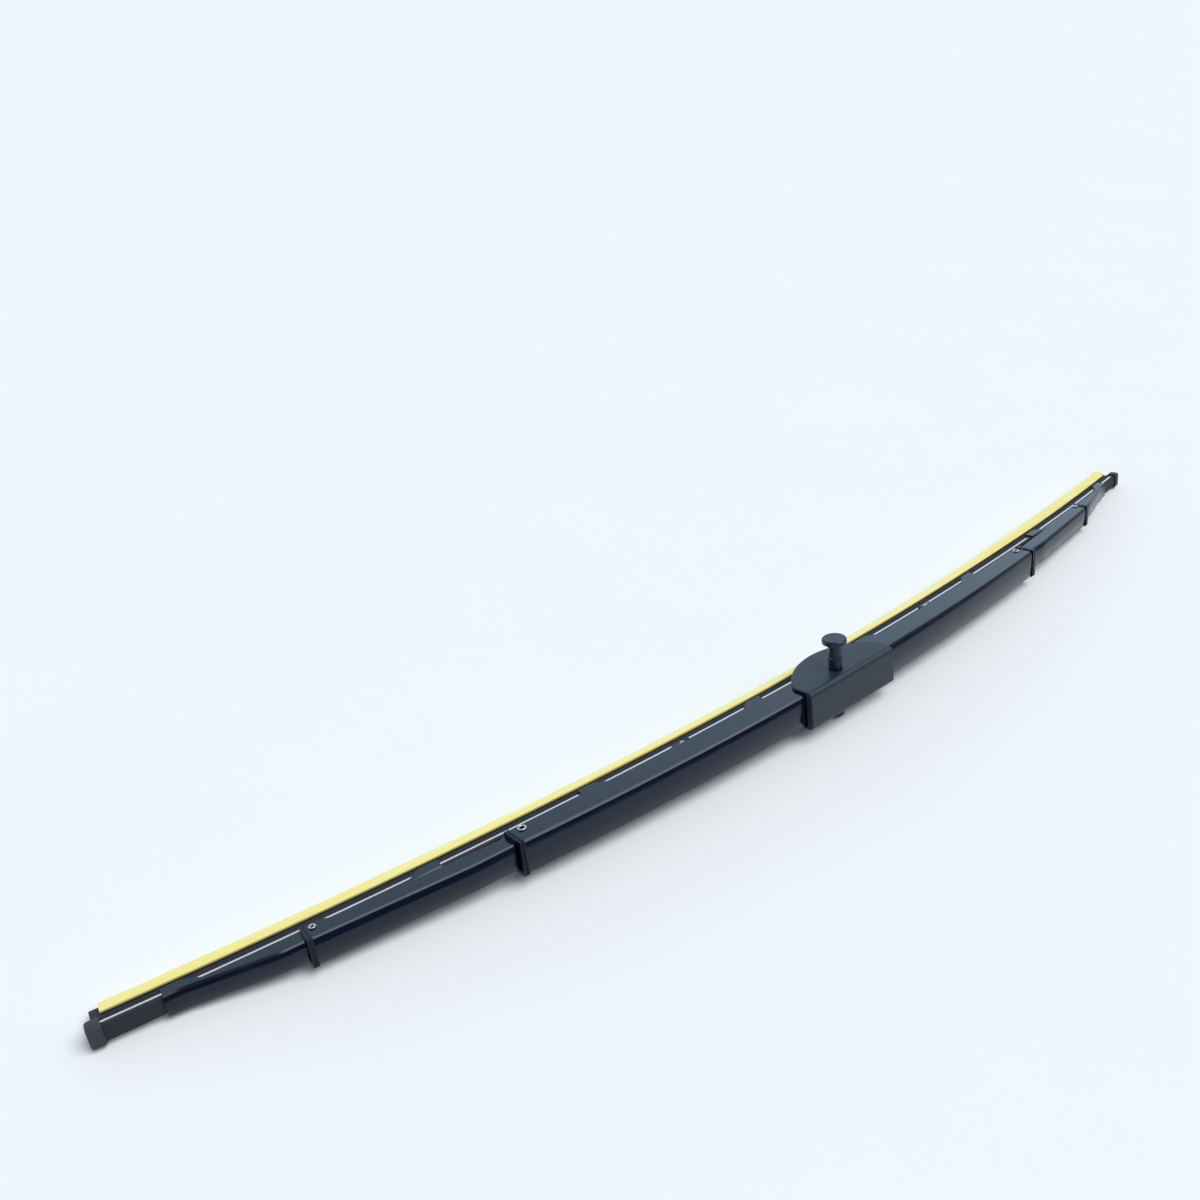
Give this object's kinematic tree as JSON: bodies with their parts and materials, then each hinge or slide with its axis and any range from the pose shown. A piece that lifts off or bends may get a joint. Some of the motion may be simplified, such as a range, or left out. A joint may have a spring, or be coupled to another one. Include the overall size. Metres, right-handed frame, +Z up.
{
  "type": "wiper blade",
  "caption": "Bow-frame windscreen wiper blade: nested black steel levers on pivots, a bowed rubber strip in a pale yellow sleeve, a moulded arm adapter and a headed side pin.",
  "frame": {"origin": "on the table under the middle of the blade's box, as it lies on the pin's foot and both end caps", "axes": "+X along the blade, +Y from the frame towards the wiping lip, +Z up off the table"},
  "size_m": [0.6006, 0.053, 0.0368],
  "materials": {
    "bridge_paint": "semi-gloss black stoved paint on pressed steel",
    "lever_paint": "semi-gloss black stoved paint on pressed steel",
    "yoke_paint": "semi-gloss black stoved paint on pressed steel",
    "adapter_plastic": "satin moulded slate-black plastic",
    "pin_steel": "dull blackened turned steel",
    "bush_plastic": "moulded black plastic",
    "rivet_steel": "bare flared tubular rivet",
    "strip_rubber": "matte extruded charcoal rubber",
    "spline_steel": "bright rolled spring-steel strip",
    "sleeve_plastic": "pale lemon extruded soft plastic",
    "cap_plastic": "moulded charcoal soft plastic"
  },
  "bodies": {
    "bridge": {"primary_bridge": "bridge_paint", "arm_adapter": "adapter_plastic", "arm_pin": "pin_steel", "left_main_bush": "bush_plastic", "right_main_bush": "bush_plastic", "left_main_rivet": "rivet_steel", "right_main_rivet": "rivet_steel", "wiper_rubber": "strip_rubber", "upper_spline": "spline_steel", "lower_spline": "spline_steel", "protective_sleeve": "sleeve_plastic"},
    "left_lever": {"left_secondary_lever": "lever_paint", "left_outer_bush": "bush_plastic", "left_outer_rivet": "rivet_steel", "left_inner_bush": "bush_plastic", "left_inner_rivet": "rivet_steel"},
    "left_outer_yoke": {"left_outer_yoke": "yoke_paint", "left_end_cap": "cap_plastic"},
    "left_inner_yoke": {"left_inner_yoke": "yoke_paint"},
    "right_lever": {"right_secondary_lever": "lever_paint", "right_outer_bush": "bush_plastic", "right_outer_rivet": "rivet_steel", "right_inner_bush": "bush_plastic", "right_inner_rivet": "rivet_steel"},
    "right_outer_yoke": {"right_outer_yoke": "yoke_paint", "right_end_cap": "cap_plastic"},
    "right_inner_yoke": {"right_inner_yoke": "yoke_paint"}
  },
  "joints": [
    {"name": "left_lever_pivot", "type": "hinge", "parent": "bridge", "child": "left_lever", "pos_m": [-0.15547, -0.0067, 0.01046], "axis": [0, 0.2542, 0.9672], "range_deg": [-1.5, 4.31], "stiffness_Nm_per_rad": 8, "deforming": ["wiper_rubber", "upper_spline", "lower_spline", "protective_sleeve"]},
    {"name": "left_outer_yoke_pivot", "type": "hinge", "parent": "left_lever", "child": "left_outer_yoke", "pos_m": [-0.23164, 0.0034, 0.00781], "axis": [0, 0.2542, 0.9672], "range_deg": [-0.75, 2.14], "deforming": ["wiper_rubber", "upper_spline", "lower_spline", "protective_sleeve"]},
    {"name": "left_inner_yoke_pivot", "type": "hinge", "parent": "left_lever", "child": "left_inner_yoke", "pos_m": [-0.07858, -0.00778, 0.01074], "axis": [0, 0.2542, 0.9672], "range_deg": [-2.14, 0.75], "deforming": ["wiper_rubber", "upper_spline", "lower_spline", "protective_sleeve"]},
    {"name": "right_lever_pivot", "type": "hinge", "parent": "bridge", "child": "right_lever", "pos_m": [0.15547, -0.0067, 0.01046], "axis": [0, 0.2542, 0.9672], "range_deg": [-4.31, 1.5], "deforming": ["wiper_rubber", "upper_spline", "lower_spline", "protective_sleeve"]},
    {"name": "right_outer_yoke_pivot", "type": "hinge", "parent": "right_lever", "child": "right_outer_yoke", "pos_m": [0.23164, 0.0034, 0.00781], "axis": [0, 0.2542, 0.9672], "range_deg": [-2.14, 0.75], "deforming": ["wiper_rubber", "upper_spline", "lower_spline", "protective_sleeve"]},
    {"name": "right_inner_yoke_pivot", "type": "hinge", "parent": "right_lever", "child": "right_inner_yoke", "pos_m": [0.07858, -0.00778, 0.01074], "axis": [0, 0.2542, 0.9672], "range_deg": [-0.75, 2.14], "deforming": ["wiper_rubber", "upper_spline", "lower_spline", "protective_sleeve"]}
  ],
  "couplings": [
    {"joint": "left_outer_yoke_pivot", "follows": "left_lever_pivot", "ratio": 0.4941},
    {"joint": "left_inner_yoke_pivot", "follows": "left_lever_pivot", "ratio": -0.4941},
    {"joint": "right_lever_pivot", "follows": "left_lever_pivot", "ratio": -1},
    {"joint": "right_outer_yoke_pivot", "follows": "left_lever_pivot", "ratio": -0.4941},
    {"joint": "right_inner_yoke_pivot", "follows": "left_lever_pivot", "ratio": 0.4941}
  ]
}
